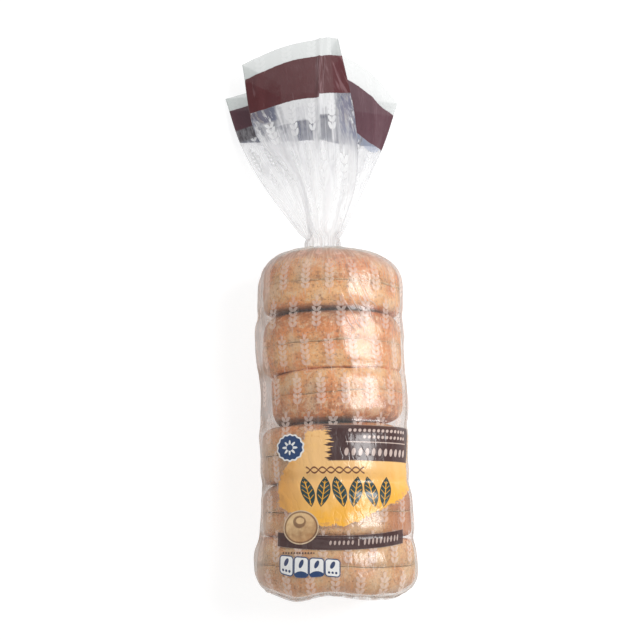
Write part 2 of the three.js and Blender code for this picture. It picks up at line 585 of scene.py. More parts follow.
# The fan's fold lines, each by its points from the neck to the mouth.
FOLDS: dict[str, tuple[tuple[float, float, float], ...]] = {
    "front_left": ((-3, 46, 49), (-14, 92, 43), (-46, 137, 31), (-57.6, 195.6, 25)),
    "front_crown": ((1, 46, 52), (-6, 96, 48), (-18, 145, 43), (-24, 205.5, 37)),
    "front_pleat": ((6, 46, 53), (7.6, 94, 51), (5.5, 150, 46), (6, 210.5, 42)),
    "front_right": ((16, 46, 49), (31, 95, 45), (31, 145, 40), (18, 213, 36)),
    "inner_right": ((13, 46, 45), (20, 100, 36), (16, 150, 29), (12, 210, 22)),
    "side_right": ((15, 46, 44), (34, 95, 27), (45, 140, 21), (42, 193, 19)),
    "back_right": ((17, 46, 43), (36.5, 92, 22), (54, 134, 10), (66.2, 171, 5)),
    "back_middle": ((6, 46, 40), (8, 92, 18), (4, 136, 5), (2, 181, 2.5)),
    "back_left": ((-5.5, 46, 43), (-36, 92, 23), (-58, 133, 11), (-72, 175.5, 3.5)),
    "inner_left": ((1, 46, 46), (-8, 94, 34), (-24, 140, 21), (-27, 184, 13)),
}
# The fan's flaps in order round the film, with the place round the film where each one ends.
FLAPS: tuple[tuple[tuple[str, ...], float], ...] = (
    (("back_middle", "back_right"), 0.171),
    (("back_right", "side_right", "inner_right"), 0.347),
    (("inner_right", "front_right"), 0.386),
    (("front_right", "front_pleat", "front_crown", "front_left"), 0.598),
    (("front_left", "inner_left"), 0.686),
    (("inner_left", "back_left"), 0.808),
    (("back_left", "back_middle"), 1.0),
)


def spline(points: Array, share: Array) -> Array:
    """A smooth curve through points, evenly shared out between them.

    Args:
        points: The points, along the first axis.
        share: Places along the curve, from 0 to 1.

    Returns:
        One point for each place.
    """
    points = np.asarray(points, dtype=float)
    last = len(points) - 1
    if last == 1:
        ahead = np.asarray(share)[:, None]
        return points[0] * (1 - ahead) + points[1] * ahead
    first, end = 2 * points[:1] - points[1:2], 2 * points[-1:] - points[-2:-1]
    around = np.concatenate([first, points, end])
    at = np.asarray(share) * last
    i = np.clip(np.floor(at).astype(int), 0, last - 1)
    t = (at - i).reshape(-1, *([1] * (points.ndim - 1)))
    a, b, c, d = (around[i + k] for k in range(4))
    return 0.5 * (
        2 * b + (c - a) * t + (2 * a - 5 * b + 4 * c - d) * t**2 + (3 * b - a - 3 * c + d) * t**3
    )


# ---- The film ------------------------------------------------------------------------------


class Part(Enum):
    """A part of the film with its own finish: round the bagels, or the fan past the neck."""

    BODY = 0
    FAN = 1


@dataclass(frozen=True)
class Glare:
    """The smooth faces that the film is pulled to on the front of the middle bagels."""

    left: float = 20.0
    width: float = 44.0
    depth: float = 14.9
    slope: float = 130.0
    span: float = 0.65

    def past(self, u: Array, y: float) -> Array:
        """The distance past the wandering line that the left and the right face meet on."""
        return u - self.left - 2.2 * math.sin(y / 9) - 2 * math.sin(y / 23 + 1)

    def lift(self, u: Array, y: float, dip: float) -> tuple[Array, Array]:
        """How the film is pulled.

        Args:
            u: Distance along the film from the front's centre line.
            y: The place along the bag.
            dip: How far the film is drawn in there between two bagels.

        Returns:
            How tight it is, from 0 to 1, and how far it stands off where it is held.
        """
        past = self.past(u, y)
        right = np.clip(past / self.width, 0, 1)
        bulge = self.depth * right**2 * (1 - right) ** 2
        pulled = np.where(past < 0, past**2 / self.slope, bulge)
        held = float((0.25 + 0.75 * ease(y, -66, -52)) * ease(y, -96, -84) * ease(-y, -12, -2))
        on_left, on_right = np.exp(-((past / 13) ** 8)), 1 - ease(past, 30, self.width)
        tight = np.where(past < 0, on_left, on_right) * held
        span = ease(past, -13, -6) * ease(-past, -26, -10) * self.span * dip
        return tight, pulled * tight + span * held


@dataclass
class Film:
    """The bag's film, one sheet from the sealed end to the open mouth.

    A row is the film's points at one place along it, one for each place q round it. u is the
    distance across the film from the front's centre line, and v the distance along it.
    """

    form: BagForm = field(default_factory=BagForm)
    neck: Neck = field(default_factory=Neck)
    seal: Seal = field(default_factory=Seal)
    glare: Glare = field(default_factory=Glare)
    columns: int = 272
    section_points: int = 1441
    fin_rows: int = 4
    end_rows: int = 16
    body_step: float = 1.7
    shoulder_rows: int = 26
    neck_rows: int = 5
    fan_rows: int = 96
    fan_start: float = 41.0
    fan_girth: float = 386.0
    first_row: float = 0.8
    row_crowding: float = 2.1
    pleat_push: float = 1.4
    wave_height: float = 3.4
    fold_height: float = 2.6
    crease_height: float = 0.4
    step_at: float = 0.4635
    step_width: float = 1.6
    step_height: float = 2.2
    fan_clearance: float = 0.7
    clearance: float = 0.05
    even_from: float = 50.0
    even_over: float = 75.0
    seed: int = 7
    mouth: float = field(init=False, default=0.0)

    def __post_init__(self) -> None:
        """Sets out the places round the film and draws its three noises."""
        self.q = np.linspace(0, 1, self.columns + 1)
        self.folds, self.creases, self.waves = (Ripples(self.seed + i) for i in range(3))

    def section(self, y: float) -> tuple[Array, Array, Array]:
        """One ring of film round the bagels.

        Args:
            y: The place along the bag.

        Returns:
            Its points, their distance along the film from the front's centre line, and their
            outward directions in the ring's plane.
        """
        form = self.form
        left, right, top = form.reach(y)
        turn = np.linspace(-np.pi / 2, 1.5 * np.pi, self.section_points)
        cos, sin = np.cos(turn), np.sin(turn)
        power = 2 / form.squareness
        drawn = form.dip(y) * ease(sin, -0.95, 0.3)
        wide = (right - left) / 2 - form.side_dip * drawn
        high = np.where(sin > 0, top / 2 - drawn, top / 2 + form.sink)
        x = (left + right) / 2 + wide * np.sign(cos) * np.abs(cos) ** power
        z = top / 2 + high * np.sign(sin) * np.abs(sin) ** power
        arc = np.concatenate([[0], np.cumsum(np.hypot(np.diff(x), np.diff(z)))])
        at = self.q * arc[-1]
        x, z = np.interp(at, arc, x), np.interp(at, arc, z)
        out = np.stack([np.gradient(z), -np.gradient(x)], axis=-1)
        out /= np.linalg.norm(out, axis=-1, keepdims=True)
        out[0] = out[-1] = (0, -1)
        front = arc[self.section_points // 2]
        return np.stack([x, np.full_like(x, y), z], axis=-1), front - at, out

    def loose(self, u: Array, y: float, out: Array) -> Array:
        """How far the film stands off its plain form, in folds and creases.

        Args:
            u: Distance along the film from the front's centre line.
            y: The place along the bag.
            out: The film's outward directions.

        Returns:
            The height of the folds, over one for each point, on the last axis.
        """
        free = ease(out[:, 1], -0.8, -0.1)
        side = ease(np.abs(out[:, 0]), 0.3, 0.9)
        dip = self.form.dip(y)
        long = self.folds.ridges(u / 13 + 0.012 * y, y / 70)
        pucker = self.creases.ridges(u / 9, y / 30 + 3) * (dip / self.form.seam_dip)
        crumple = self.waves.ridges(u / 16 + 0.03 * y, y / 24 + 0.02 * u)
        loose = long * (0.2 + 1.2 * side) + 0.6 * pucker + crumple * (0.3 + 0.4 * side)
        tight, lift = self.glare.lift(u, y, dip)
        return (free * (loose * (1 - 0.8 * tight) + lift))[:, None]

    def closed_rows(self, first: Array) -> Iterable[tuple[Array, float]]:
        """The seal's fin, and the film folded flat from the seal to the bagels.

        Args:
            first: The first row round the bagels.

        Yields:
            Each row's points, and its place along the film.
        """
        q, seal, end = self.q, self.seal, self.form.closed_end
        meeting = seal.meeting(q, end)
        for step in range(self.fin_rows, 0, -1):
            share = step / self.fin_rows
            points = meeting.copy()
            points[:, 1] -= share * seal.fin(q)
            yield points, end - seal.fold - share * seal.reach
        for step in range(self.end_rows):
            share = step / self.end_rows
            points = meeting + (first - meeting) * share
            crease = self.creases.ridges(q * 34, np.full_like(q, 2 + share))
            points[:, 1] -= math.sin(math.pi * share) * (0.6 + 1.0 * crease)
            yield points, end - seal.fold * (1 - share)

    def body_rows(self) -> Iterable[tuple[Array, Array]]:
        """The rows from the closed end's rounding to the shoulder, each with its u."""
        first, last = self.form.closed_end + self.first_row, self.form.shoulder_start
        for y in np.linspace(first, last, int((last - first) / self.body_step)):
            points, u, out = self.section(y)
            middle = np.array([(points[:, 0].max() + points[:, 0].min()) / 2, points[:, 2].mean()])
            points[:, (0, 2)] = middle + (points[:, (0, 2)] - middle) * self.form.share(y)
            points[:, (0, 2)] += out * self.loose(u, y, out)
            yield points, u

    def shoulder(self) -> Iterable[tuple[Array, Array]]:
        """The rows where the film turns in over the last bagel, each with its u."""
        form, neck = self.form, self.neck
        for step in range(1, self.shoulder_rows + 1):
            into = 1 - (1 - step / self.shoulder_rows) ** self.row_crowding
            y = form.shoulder_start + into * (form.crest - form.shoulder_start)
            full, u, out = self.section(y)
            share = form.share(y)
            full[:, (0, 2)] += out * self.loose(u, y, out)
            target = np.array([neck.x, y, neck.z])
            points = target + (full - target) * share
            points += (neck.ring(self.q, y) - points) * (1 - share) ** 3
            push = self.pleat_push * (1 + neck.pleat(self.q))
            points[:, 1] += push * (1 - share) * share * 2
            yield points, u

    def flaps(self) -> Iterable[tuple[tuple[str, ...], Array, Array]]:
        """The fan's flaps: their fold lines, which columns they take, and how far over each is."""
        start = 0.0
        for names, end in FLAPS:
            here = (self.q >= start) & (self.q <= end)
            yield names, here, (self.q[here] - start) / (end - start)
            start = end

    def fan_points(self, t: float) -> Array:
        """The fan's plain form at a share of the way from the neck to the mouth.

        Args:
            t: The share of the way.

        Returns:
            One point for each place round the film.
        """
        points = np.zeros((self.columns + 1, 3))
        for names, here, across in self.flaps():
            line = np.array([spline(np.array(FOLDS[name]), np.array([t]))[0] for name in names])
            points[here] = spline(line, across)
        return points

    def fan_row(self, t: float) -> Array:
        """One row of the fan, with its folds.

        Args:
            t: The share of the way from the neck to the mouth.

        Returns:
            One point for each place round the film.
        """
        points, q = self.fan_points(t), self.q
        gathers = self.neck.pleat(q + 0.004 * np.sin(9 * t)) * (math.exp(-6 * t) * 1.5 + 0.06)
        waves = self.waves(q * 15, t * 1.6 + 5) * self.wave_height
        waves *= math.sin(math.pi * min(t * 0.8, 1))
        folds = self.folds.ridges(q * 25 + 2, t * 0.8 + 9, 0.35) * self.fold_height
        folds *= 1 - 0.6 * t
        creases = self.creases.ridges(q * 22 + 2 * t, t * 5 + 4, 0.25) * self.crease_height
        to_fold = np.min([np.abs(q - end) for _, end in FLAPS], axis=0) * self.fan_girth
        free = 1 - (1 - ease(to_fold, 0, 12)) * float(ease(t, 0.15, 0.5))
        points[:, 2] += (gathers + waves + folds + creases) * free
        step = np.exp(-(((q - self.step_at) * self.fan_girth / self.step_width) ** 2))
        points[:, 2] += self.step_height * step * float(ease(t, 0.3, 0.7))
        points[:, 2] = np.maximum(points[:, 2], self.fan_clearance)
        ring = self.neck.ring(q, points[:, 1].mean())
        ring[:, 1] = points[:, 1]
        return points + (ring - points) * float(1 - ease(t, 0.0, 0.07))

    def from_mouth(self, flat: Array) -> Array:
        """The fan's distance from the mouth's edge, flap by flap.

        Args:
            flat: The fan's plain form, row by row up to the mouth.

        Returns:
            The shortest way to the edge of the same flap, for each point.
        """
        away = np.zeros(flat.shape[:2])
        for _, here, _ in self.flaps():
            edge = flat[-1][here]
            for row, points in enumerate(flat):
                gaps = np.linalg.norm(points[here][:, None] - edge[None], axis=-1)
                away[row, here] = gaps.min(axis=1)
        return away

    def lengths(self, rows: Sequence[Array], flat: Array) -> Array:
        """How far along the film its points are past the bagels, and where the mouth is.

        Args:
            rows: The rows from the last one round the bagels to the mouth.
            flat: The fan's plain form, row by row up to the mouth.

        Returns:
            The distances for each row but the first.
        """
        gathered = np.array(rows[: 1 - self.fan_rows])
        steps = np.median(np.linalg.norm(np.diff(gathered, axis=0), axis=-1), axis=1)
        plain = self.form.shoulder_start + np.cumsum(steps)
        to_mouth = self.from_mouth(flat)
        self.mouth = float(plain[-1] + np.median(to_mouth[0]))
        along = self.mouth - to_mouth
        even = np.median(along, axis=1)[:, None]
        inland = ease((to_mouth - self.even_from) / self.even_over, 0, 1)
        along = along + (even - along) * inland
        return np.concatenate([np.repeat(plain[:-1, None], len(self.q), 1), along])

    def rows(self) -> tuple[Array, Array, Array]:
        """Every row of the film.

        Returns:
            The points, their distance across the film from the front's centre line, and their
            distance along it.
        """
        form = self.form
        body, shoulder = list(self.body_rows()), list(self.shoulder())
        first, u0 = body[0]
        closed = list(self.closed_rows(first))
        rows = [points for points, _ in closed + body + shoulder]
        us = [u0 for _ in closed] + [u for _, u in body + shoulder]
        vs = [np.full_like(u0, v) for _, v in closed] + [points[:, 1] for points, _ in body]
        start = len(vs) - 1
        shares = [step / self.fan_rows for step in range(1, self.fan_rows + 1)]
        rows += [self.neck.ring(self.q, form.crest + 1 + step) for step in range(self.neck_rows)]
        rows += [self.fan_row(share) for share in shares]
        us += us[-1:] * (self.neck_rows + self.fan_rows)
        vs += list(self.lengths(rows[start:], np.array([self.fan_points(t) for t in shares])))
        points, us = np.array(rows), np.array(us)
        points[:, :, 2] = np.maximum(points[:, :, 2], self.clearance)
        points[:, :, 1] += form.sag(points[:, :, 0], points[:, :, 1])
        onto_fan = np.arange(len(rows) - start)[:, None] / self.shoulder_rows
        onto_fan = np.minimum(onto_fan, 1)
        us[start:] = us[start:] * (1 - onto_fan) + (0.5 - self.q) * self.fan_girth * onto_fan
        return points, us, np.array(vs)

    def mesh(self, name: str) -> bpy.types.Object:
        """Builds the sheet.

        Args:
            name: The piece's name.

        Returns:
            The new object.
        """
        points, us, vs = self.rows()
        last = len(points) - 1
        made = bmesh.new()
        bmesh.ops.create_grid(
            made, x_segments=self.columns, y_segments=last, size=1, calc_uvs=False
        )
        layer = made.loops.layers.uv.new("film")
        places = {}
        for vertex in made.verts:
            x, y, _ = (vertex.co + Vector((1, 1, 0))) / 2
            places[vertex] = (round(y * last), round(x * self.columns))
        for face in made.faces:
            for loop in face.loops:
                place = places[loop.vert]
                loop[layer].uv = (us[place] * MM, vs[place] * MM)
            on_fan = min(loop[layer].uv.y for loop in face.loops) > self.fan_start * MM
            face.material_index = (Part.FAN if on_fan else Part.BODY).value
            face.smooth = True
        seam = {}
        for vertex, (row, column) in places.items():
            vertex.co = Vector(points[row, column] * MM)
            if column in (0, self.columns):
                seam.setdefault(row, {})[column] = vertex
        targets = {pair[self.columns]: pair[0] for pair in seam.values()}
        bmesh.ops.weld_verts(made, targetmap=targets)
        bmesh.ops.reverse_faces(made, faces=made.faces[:])
        return finish_mesh(made, name)


def finish_mesh(made: bmesh.types.BMesh, name: str) -> bpy.types.Object:
    """Turns a bmesh into a piece of the bag.

    Args:
        made: The mesh, in metres.
        name: The piece's name.

    Returns:
        The new object, which rides on the part and stands for its solid.
    """
    mesh = bpy.data.meshes.new(name)
    made.to_mesh(mesh)
    made.free()
    piece = bpy.data.objects.new(name, mesh)
    bpy.context.scene.collection.objects.link(piece)
    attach(piece, "root")
    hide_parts(NODE)
    LOG.info("%s: %d vertices, %d faces", name, len(mesh.vertices), len(mesh.polygons))
    return piece


# ---- The bagels ----------------------------------------------------------------------------


class Half(Enum):
    """Which half of a sliced bagel: the domed one or the flat-based one."""

    DOME = "dome"
    BASE = "base"


class Facing(Enum):
    """Which way a bagel's dome points along the row."""

    NECK = 1
    CLOSED_END = -1


@dataclass(frozen=True)
class Bagel:
    """One sliced bagel on its edge in the row. Its number also seeds its unevenness.

    Its base is a place along Y and its x is across the bag. The radius is its reach up and down,
    and the half-width its reach across. The cut and the belly are at shares of its height, and a
    power above 2 squares the section off.
    """

    number: int
    base: float
    height: float
    x: float
    radius: float
    half_width: float
    facing: Facing
    tilt: float = 0.0
    slice_at: float = 0.46
    gap: float = 0.2
    hole: float = 10.0
    belly: float = 0.44
    browning: float = 1.0
    toast: float = 0.0
    dome_power: float = 3.5
    base_power: float = 6.5
    crust_points: int = 44
    cut_points: int = 12
    turns: int = 168
    clearance: float = 0.8
    slide: float = 0.3
    shrink: float = 0.3
    # The crust's unevenness: how long and how high its swells, lumps and grain are.
    bumps: tuple[tuple[float, float], ...] = ((26.0, 1.1), (8.0, 0.42), (2.6, 0.14))

    def side(self, above: bool) -> tuple[float, float]:
        """The height and the power of the section's curve, above the belly or below it."""
        belly = self.belly * self.height
        return (self.height - belly, self.dome_power) if above else (belly, self.base_power)

    def angle_at(self, height: float) -> float:
        """The angle round the section at which its outer side has a height.

        Args:
            height: The height, from the bagel's base.

        Returns:
            The angle, less than 0 below the belly.
        """
        rise = height - self.belly * self.height
        size, power = self.side(rise > 0)
        return math.copysign(math.asin(min(abs(rise) / size, 1) ** (power / 2)), rise)

    def corner(self, angle: float) -> tuple[float, float]:
        """A corner of the section.

        Args:
            angle: The angle round the section.

        Returns:
            Its distance from the hole's axis and its height.
        """
        cos, sin = math.cos(angle), math.sin(angle)
        size, power = self.side(sin > 0)
        out = (self.radius - self.hole) / 2 * math.copysign(abs(cos) ** (2 / power), cos)
        rise = size * math.copysign(abs(sin) ** (2 / power), sin)
        return (self.radius + self.hole) / 2 + out, self.belly * self.height + rise

    def outline(self, half: Half) -> list[tuple[float, float, bool]]:
        """The half's section: distance from the hole's axis, height, and whether it is cut crumb.

        Args:
            half: Which half.

        Returns:
            The corners, in order round the section.
        """
        way = 1 if half is Half.DOME else -1
        edge = self.slice_at * self.height + way * self.gap / 2
        start = self.angle_at(edge)
        angles = np.linspace(start, way * math.pi - start, self.crust_points)
        corners = [(*self.corner(angle), False) for angle in angles]
        shares = [i / self.cut_points for i in range(1, self.cut_points)]
        inner, outer = corners[-1][0], corners[0][0]
        return corners + [(inner + (outer - inner) * share, edge, True) for share in shares]

    def mesh(self, half: Half, form: BagForm) -> bpy.types.Object:
        """Builds one half in its place in the row.

        Args:
            half: Which half.
            form: The bag that holds it.

        Returns:
            The new object.
        """
        corners = self.outline(half)
        made = bmesh.new()
        rise, cut = (made.verts.layers.float.new(name) for name in ("rise", "cut"))
        circle = bmesh.ops.create_circle(made, segments=len(corners), radius=1)["verts"]
        circle.sort(key=lambda vertex: math.atan2(vertex.co.x, vertex.co.y) % (2 * math.pi))
        for vertex, (rho, height, crumb) in zip(circle, corners):
            vertex.co = Vector((rho, height, 0))
            vertex[rise] = height / self.height * self.browning + self.toast
            vertex[cut] = float(crumb)
        bmesh.ops.spin(
            made,
            geom=made.verts[:] + made.edges[:],
            cent=(0, 0, 0),
            axis=(0, 1, 0),
            dvec=(0, 0, 0),
            angle=2 * math.pi,
            steps=self.turns,
            use_merge=True,
            use_duplicate=False,
        )
        bmesh.ops.recalc_face_normals(made, faces=made.faces[:])
        made.normal_update()
        self.bake(made, half, cut)
        self.place(made, form)
        for face in made.faces:
            face.smooth = True
            face.material_index = int(sum(vertex[cut] for vertex in face.verts) > 1.5)
        return finish_mesh(made, f"bagel_{self.number}_{half.value}")

    def bake(self, made: bmesh.types.BMesh, half: Half, cut: bmesh.types.BMLayerItem) -> None:
        """Makes the half uneven, as baked dough is.

        Args:
            made: The half's mesh, in millimetres, standing on its base.
            half: Which half.
            cut: The layer that marks cut crumb.
        """
        offset = Vector((13.7, 5.1, 9.3)) * self.number
        slide = Vector((math.cos(self.number * 2.4), 0, math.sin(self.number * 2.4)))
        slide = slide * (self.slide if half is Half.DOME else -self.slide)
        for vertex in made.verts:
            place, normal = vertex.co.copy(), vertex.normal.copy()
            round_about = Vector((place.x, 0, place.z)).normalized() * 2.2
            wave = noise.noise(round_about + offset) * 0.9
            wave += noise.noise(round_about * 3 + offset) * 0.35
            swell, lump, grain = (
                noise.noise(place / length + offset * times) * height
                for times, (length, height) in enumerate(self.bumps, 1)
            )
            if vertex[cut] > 0.5:
                vertex.co.y += wave + 0.5 * lump + grain
            else:
                near_cut = math.exp(-abs(place.y - self.slice_at * self.height) / 4)
                vertex.co += normal * (swell - self.shrink + lump + grain)
                vertex.co.y += wave * near_cut
            vertex.co += slide

    def place(self, made: bmesh.types.BMesh, form: BagForm) -> None:
        """Moves the half to its place in the row and turns millimetres into metres.

        Args:
            made: The half's mesh.
            form: The bag, which holds it in.
        """
        up = self.facing.value
        turn = Matrix.Rotation(math.radians(self.tilt), 3, "Z")
        spin = Matrix.Rotation(self.number * 1.9, 3, "Y")
        centre = Vector((self.x, self.base, self.radius - form.sink))
        middle = Vector((0, self.height / 2, 0))
        for vertex in made.verts:
            place = spin @ vertex.co
            place.x *= self.half_width / self.radius
            place = turn @ (place - middle) + middle
            place = form.hold(Vector((place.x, place.y * up, place.z)) + centre, self.clearance)
            place.z = max(place.z, self.clearance)
            if place.y < form.bulge_start:
                place.y += float(form.sag(place.x, place.y))
            vertex.co = place * MM
        if up < 0:
            bmesh.ops.reverse_faces(made, faces=made.faces[:])


BAGELS = (
    Bagel(1, -8.8, 47.4, 12.6, 46.8, 50.8, Facing.NECK, slice_at=0.395),
    Bagel(2, -52.6, 43.0, 12.6, 45.8, 51.4, Facing.NECK, 1.6, browning=1.12, toast=0.07),
    Bagel(3, -50.9, 38.5, 16.4, 45.8, 48.0, Facing.CLOSED_END, -3.2, toast=0.22),
    Bagel(4, -131.0, 41.2, 13.8, 47.2, 52.6, Facing.NECK, 1.2),
    Bagel(5, -169.2, 38.0, 16.0, 47.6, 53.4, Facing.NECK, 0.6),
    Bagel(6, -169.4, 37.4, 15.2, 51.4, 57.4, Facing.CLOSED_END, slice_at=0.52, browning=0.7),
)


# ---- Finishes ------------------------------------------------------------------------------


@dataclass(frozen=True)
class Crust:
    """Baked crust: pale at the waist, browner on the dome, mottled and flecked with bran; painted
    shade darkens two gaps between bagels and the fifth bagel's right.
    """

    pale: Ink = (242, 181, 117)
    tan: Ink = (236, 162, 96)
    brown: Ink = (206, 130, 74)
    dark: Ink = (156, 94, 54)
    orange: Ink = (236, 146, 80)
    bran: Ink = (112, 66, 42)
    flour: Ink = (238, 206, 166)
    dusty: Ink = (190, 158, 118)
    # Painted shade for the deep gaps between bagels.
    gap: Ink = (74, 62, 54)

    def make(self) -> bpy.types.Material:
        """Builds the crust's material.

        Returns:
            The material.
        """
        g = Graph("crust")
        where = g.node("TexCoord", output="Object")
        x, y = g.across_and_along(where)
        rise = g.node("Attribute", output="Fac", attribute_name="rise")
        broad, blotch = g.noise(where, 34, 3), g.noise(where, 110, 4, 0.6)
        patch = g.noise(where, 72, 3, 0.55)
        mottle, fine = (g.noise(where, scale, 3, 0.6) for scale in (290, 640))
        height = rise + (broad - 0.5) * 1.2 + (blotch - 0.5) * 0.8
        dust = g.step(y, -88, -118) * 0.26 + g.step(y, -168, -176) * 0.16
        dust += g.step(x, -4, -26) * g.step(y, -88, -94) * g.step(y, -136, -128) * 0.16
        # Browner and darker on the fifth bagel's right: partly its real browner crust, partly
        # painted shade where less light falls.
        toasted_and_shaded = g.step(x, 40, 58) * g.step(abs(y + 152.0), 22, 12)
        # Painted shade in the deep gaps between the first and second bagels and between the third
        # and fourth.
        gap = (g.step(abs(y + 9.5), 3.2, 1.2) * 0.8).most(g.step(abs(y + 89.5), 4.4, 1.8))
        bran = g.step(g.noise(where, 820, 1), 0.64, 0.69) * g.step(broad, 0.36, 0.5)
        # Over the pale crust, each layer's strength and colour.
        colour = g.paint(
            self.pale,
            (g.step(height, 0.30, 0.62), self.tan),
            (g.step(height, 0.55, 0.92), self.brown),
            (g.step(height, 0.92, 1.25) * 0.7, self.dark),
            (g.step(rise, 0.10, 0.0) * 0.6, self.brown),
            (g.step(blotch, 0.5, 0.68) * 0.5, self.brown),
            (g.step(patch, 0.50, 0.60) * 0.72, self.orange),
            (g.step(patch, 0.47, 0.36) * 0.5, self.flour),
            (g.step(mottle, 0.52, 0.66) * 0.66, self.flour),
            (g.step(mottle, 0.45, 0.32) * 0.62, self.dark),
            (g.step(fine, 0.56, 0.68) * 0.5, self.flour),
            (g.step(fine, 0.43, 0.32) * 0.42, self.dark),
            (dust, self.dusty),
            # Real browning and painted shade on the fifth bagel's right.
            (toasted_and_shaded * 0.9, self.brown),
            (toasted_and_shaded * 0.3, self.dark),
            # Painted shade in those gaps, fading out towards the right.
            (gap * g.step(x, 38, 20) * 0.55, self.gap),
            (bran * 0.55, self.bran),
        )
        relief = g.bump(fine * 0.5 + g.noise(where, 230, 4, 0.6), 0.55, 0.0011)
        rough = 0.55 + (fine - 0.5) * 0.3
        return g.finish(g.principled(Base_Color=colour, Roughness=rough, Normal=relief))


@dataclass(frozen=True)
class Crumb:
    """Cut crumb: cream, open and dry."""

    cream: Ink = (236, 208, 168)
    pore: Ink = (196, 152, 106)

    def make(self) -> bpy.types.Material:
        """Builds the crumb's material.

        Returns:
            The material.
        """
        g = Graph("crumb")
        cells = g.noise(g.node("TexCoord", output="Object"), 420, 3, 0.7)
        colour = g.mix(g.step(cells, 0.46, 0.36), self.cream, self.pore)
        relief = g.bump(cells, 0.8, 0.001)
        return g.finish(g.principled(Base_Color=colour, Roughness=0.85, Normal=relief))


class Layers:
    """The film in its node tree: the place on it, its parts, and what lies on it.

    Places are in millimetres: u across from the front's centre line, v along, and away from the
    mouth's edge. Each part is 1 inside and 0 outside. What lies on the clear film is built up
    layer by layer, as a colour, how much of the film it covers, and how much of that is ink.
    """

    def __init__(self, mouth: float, part: Part) -> None:
        """Reads the place from the film's own map and finds the film's parts.

        Args:
            mouth: How far along the film its mouth is.
            part: Which part of the film the finish is for.
        """
        self.part = part
        self.g = g = Graph(f"printed_film_{part.name.lower()}")
        self.u, self.v = g.across_and_along(g.node("UVMap", uv_map="film"))
        self.flat = g.place(self.u, self.v)
        self.away = mouth - self.v + (g.noise(self.flat, 0.35) - 0.5) * 0.8
        self.fan = g.step(self.v, 40, 62) if part is Part.FAN else g.node("Value")
        self.body = 1.0 - self.fan
        self.cloud = g.noise(self.flat, 0.05, 3)
        self.bent = g.noise(self.flat, 0.03) * 2.0
        self.band_start, self.band_end = self.band_edges()
        self.under = self.away - self.band_end
        self.find_parts()
        self.colour: Value = 1.0
        self.cover: Value = 0.0
        self.solid: Value = 0.0

    def band_edges(self) -> tuple[Num, Num]:
        """Where the band starts and ends all round the film, which was gathered askew.

        Returns:
            The two distances from the mouth.
        """
        g, u = self.g, self.u
        front, right = self.between(u, -42, -40, 48, 50), self.between(u, 49, 51, 128, 130)
        left = g.step(u, 14.6, 13.9)
        start = left * ((u + 5.0).most(0.0) * 0.06 + 1.8) + (1.0 - left) * 3.3
        end = left * (u * 0.137 + 7.0) + (1.0 - left) * 6.0
        start = 11.5 + front * start + right * g.step(u, 125, 103) * 4.4
        end = 40.5 + front * end + right * (3.5 + g.step(u, 125, 85) * 5.0)
        return start, end

    def find_parts(self) -> None:
        """Finds the film's parts.

        They are the slack sides, the smooth veil under the band with its clear panes and the mist
        below it, the crumpled film with its facets, the gathered part of the fan, and the milky
        strip at the mouth.
        """
        g, u, v, under = self.g, self.u, self.v, self.under
        slack = g.step(v, -92, -84) * g.step(u, -47, -52) * 0.75
        self.side = g.step(u, -46, -63).most(g.step(u, 60, 80) * 0.45).most(slack) * self.body
        middle = self.between(u, -24, -20, 26, 29)
        pane = g.step(abs(u + 0.6), 8.8, 7.4).most(g.step(abs(u - 19.6), 5.2, 4.0))
        self.pane = pane * self.between(under, 15, 17, 27, 30) * self.fan
        self.veil = g.step(under, 16.8, 15.2) * middle
        self.misty = self.between(under, 14.5, 16.5, 28, 32) * middle * (1.0 - pane)
        crushed = g.step(self.away, 84, 58) * self.fan * (1.0 - self.veil * 0.8)
        self.crushed = crushed * g.step(abs(u - 3.0), 52, 44)
        self.facets = g.cells(g.place(u * 0.16 + v * 0.05 + self.bent, v * 0.12 - u * 0.03))
        self.gathered = g.step(v, 142, 96) * self.fan
        self.strip = g.step(self.away - self.band_start, 0.2, -0.3) * self.fan

    def between(self, value: Num, *edges: float) -> Num:
        """1 where a value is between the middle two of four edges, and 0 beyond the outer two."""
        return self.g.step(value, edges[0], edges[1]) * self.g.step(value, edges[3], edges[2])

    def streaks(
        self,
        across: float,
        along: float,
        detail: float = 2.0,
        rough: float = 0.5,
        lean: tuple[float, float] = (0.0, 0.0),
        shift: Value = 0.0,
    ) -> Num:
        """Noise drawn out along the film.

        Args:
            across: Bumps for each millimetre across.
            along: Bumps for each millimetre along.
            detail: How many finer layers it has.
            rough: How strong the finer layers are.
            lean: How far it leans: along added to across, and across taken from along.
            shift: How far it is moved across.

        Returns:
            The noise, about 0.5 on average.
        """
        x = self.u * across + self.v * lean[0] + shift
        y = self.v * along - self.u * lean[1]
        return self.g.noise(self.g.place(x, y), 1.0, detail, rough)

    def thread(self, noise_value: Num, width: float, core: float = 0.0) -> Num:
        """Lines where a noise crosses its middle, full in the core and faded out at the width."""
        return self.g.step(abs(noise_value - 0.5), width, core)

    def oval(self, x: float, y: float, wide: float, high: float) -> Num:
        """The distance from the middle of an oval of half-width wide, with 1 on its edge."""
        return (((self.u - x) / wide) ** 2.0 + ((self.v - y) / high) ** 2.0).root()

    def past_line(self, x: float, y: float, out_x: float, out_y: float) -> Num:
        """The distance outward past a line through a point, less than 0 inside."""
        return (self.u - x) * out_x + (self.v - y) * out_y

    def grain(self, across: Num, along: Num) -> Num:
        """A soft-edged oval, from how far out a place is in it each way, with 1 on its edge."""
        return self.g.step(across**2.0 + along**2.0, 1.15, 0.8)

    def tint(self, mask: Value, colour: Value, cover: float = 0.0) -> None:
        """Colours what covers the film, and adds a little to how much it covers."""
        self.colour = self.g.mix(mask, self.colour, colour)
        if cover:
            self.cover += mask * cover

    def ink(self, mask: Num, colour: Value, opacity: float = 0.95, solid: float = 1.0) -> None:
        """Prints ink.

        Args:
            mask: Where.
            colour: The ink's colour.
            opacity: How much of the film it covers.
            solid: How much of the light from behind it stops.
        """
        self.tint(mask, colour)
        self.cover += (opacity - self.cover) * mask
        self.solid = self.solid.most(mask * solid)


